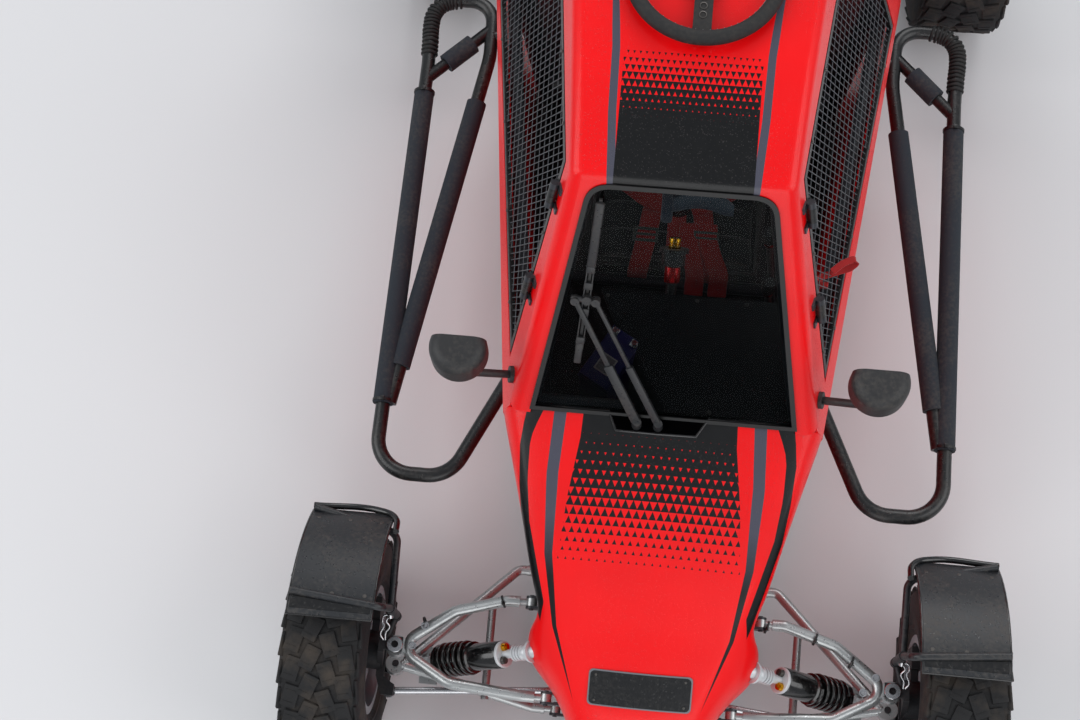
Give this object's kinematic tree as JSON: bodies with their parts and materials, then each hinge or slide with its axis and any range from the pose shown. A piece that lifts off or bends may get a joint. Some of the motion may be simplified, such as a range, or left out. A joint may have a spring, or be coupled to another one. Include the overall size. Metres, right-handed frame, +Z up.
{
  "type": "enclosed racing kart",
  "caption": "Single-seat off-road racing kart with enclosed cage, red panels, mesh doors and open wishbone suspension.",
  "frame": {"origin": "on the ground under the middle of the outer size", "axes": "+Z up, -Y towards the nose, +X towards the driver's left"},
  "size_m": [1.4902, 2.6, 1.2521],
  "materials": {
    "frame_paint": "satin grey powder coat",
    "red_body": "wet gloss red",
    "black_paint": "satin black",
    "black_plastic": "moulded, matt",
    "guard_plastic": "moulded, dark slate",
    "mesh_zinc": "zinc coated wire",
    "steel": "machined",
    "cast_metal": "as cast",
    "sheet_aluminium": "brushed sheet",
    "screen": "clear",
    "tyre_rubber": "matt",
    "foam": "closed foam",
    "spring_steel": "gloss black",
    "wheel_rim": "cast and polished",
    "webbing": "woven webbing",
    "seat_cloth": "woven",
    "battery_blue": "moulded, dark blue",
    "lamp_red": "clear red lens",
    "grip": "soft grip"
  },
  "bodies": {
    "chassis": {"lower_frame": "frame_paint", "nose_frame": "frame_paint", "roll_cage": "frame_paint", "rear_frame": "frame_paint", "floor_tray": "sheet_aluminium", "firewall": "sheet_aluminium", "nose_panel": "red_body", "side_panel_right": "red_body", "side_panel_left": "red_body", "roof_shell": "red_body", "windscreen": "screen", "door_hinges": "steel", "dashboard": "black_plastic", "steering_rack": "sheet_aluminium", "front_wishbones": "frame_paint", "dampers": "steel", "springs": "spring_steel", "rear_uprights": "cast_metal", "rear_wishbones": "frame_paint", "engine_block": "cast_metal", "drive_chain": "steel", "side_bars": "black_paint", "side_bar_pads": "foam", "door_mirrors": "black_plastic", "wiper": "black_paint", "seat_shell": "black_plastic", "seat_padding": "seat_cloth", "harness": "webbing", "pedals": "sheet_aluminium", "battery_box": "battery_blue", "levers": "black_paint", "fuel_tank": "black_plastic", "air_box": "black_plastic", "exhaust": "steel", "radiator": "sheet_aluminium", "bumpers": "black_paint", "tail_lamps": "lamp_red", "rear_mudguards": "guard_plastic", "steering_wheel": "grip"},
    "knuckle_right": {"knuckle_right": "cast_metal", "mudguard_front_right": "guard_plastic"},
    "knuckle_left": {"knuckle_left": "cast_metal", "mudguard_front_left": "guard_plastic"},
    "wheel_front_right": {"rim_front_right": "wheel_rim", "tyre_front_right": "tyre_rubber"},
    "wheel_front_left": {"rim_front_left": "wheel_rim", "tyre_front_left": "tyre_rubber"},
    "rear_axle": {"rear_axle": "steel", "rim_rear_right": "wheel_rim", "rim_rear_left": "wheel_rim", "tyre_rear_right": "tyre_rubber", "tyre_rear_left": "tyre_rubber"},
    "rack": {"tie_rods": "steel"},
    "column": {"steering_column": "steel"},
    "door_right": {"door_frame_right": "black_paint", "door_mesh_right": "mesh_zinc"},
    "door_left": {"door_frame_left": "black_paint", "door_mesh_left": "mesh_zinc"}
  },
  "joints": [
    {"name": "steer_right", "type": "hinge", "parent": "chassis", "child": "knuckle_right", "pos_m": [0.536, -0.952, 0.2], "axis": [-0.1154, 0.1586, 0.9806], "range_deg": [-25, 25]},
    {"name": "steer_left", "type": "hinge", "parent": "chassis", "child": "knuckle_left", "pos_m": [-0.536, -0.952, 0.2], "axis": [0.1154, 0.1586, 0.9806], "range_deg": [-25, 25]},
    {"name": "wheel_front_right_spin", "type": "hinge", "parent": "knuckle_right", "child": "wheel_front_right", "pos_m": [0.655, -0.93, 0.25], "axis": [1, 0, 0], "continuous": true},
    {"name": "wheel_front_left_spin", "type": "hinge", "parent": "knuckle_left", "child": "wheel_front_left", "pos_m": [-0.655, -0.93, 0.25], "axis": [1, 0, 0], "continuous": true},
    {"name": "rear_axle_spin", "type": "hinge", "parent": "chassis", "child": "rear_axle", "pos_m": [0, 0.95, 0.25], "axis": [1, 0, 0], "continuous": true},
    {"name": "rack_slide", "type": "slide", "parent": "chassis", "child": "rack", "axis": [1, 0, 0], "range_m": [-0.028, 0.028]},
    {"name": "column_turn", "type": "hinge", "parent": "chassis", "child": "column", "pos_m": [-0.004, -0.948, 0.247], "axis": [0, 0.868, 0.4965], "range_deg": [-200, 200]},
    {"name": "door_right_open", "type": "hinge", "parent": "chassis", "child": "door_right", "pos_m": [0.2803, -0.2959, 0.893], "axis": [0.1925, -0.4879, -0.8514], "range_deg": [0, 75]},
    {"name": "door_left_open", "type": "hinge", "parent": "chassis", "child": "door_left", "pos_m": [-0.2803, -0.2959, 0.893], "axis": [0.1925, 0.4879, 0.8514], "range_deg": [0, 75]}
  ],
  "couplings": [
    {"joint": "steer_left", "follows": "steer_right", "ratio": 1},
    {"joint": "rack_slide", "follows": "steer_right", "m_per_rad": 0.0616},
    {"joint": "column_turn", "follows": "steer_right", "ratio": 8}
  ]
}
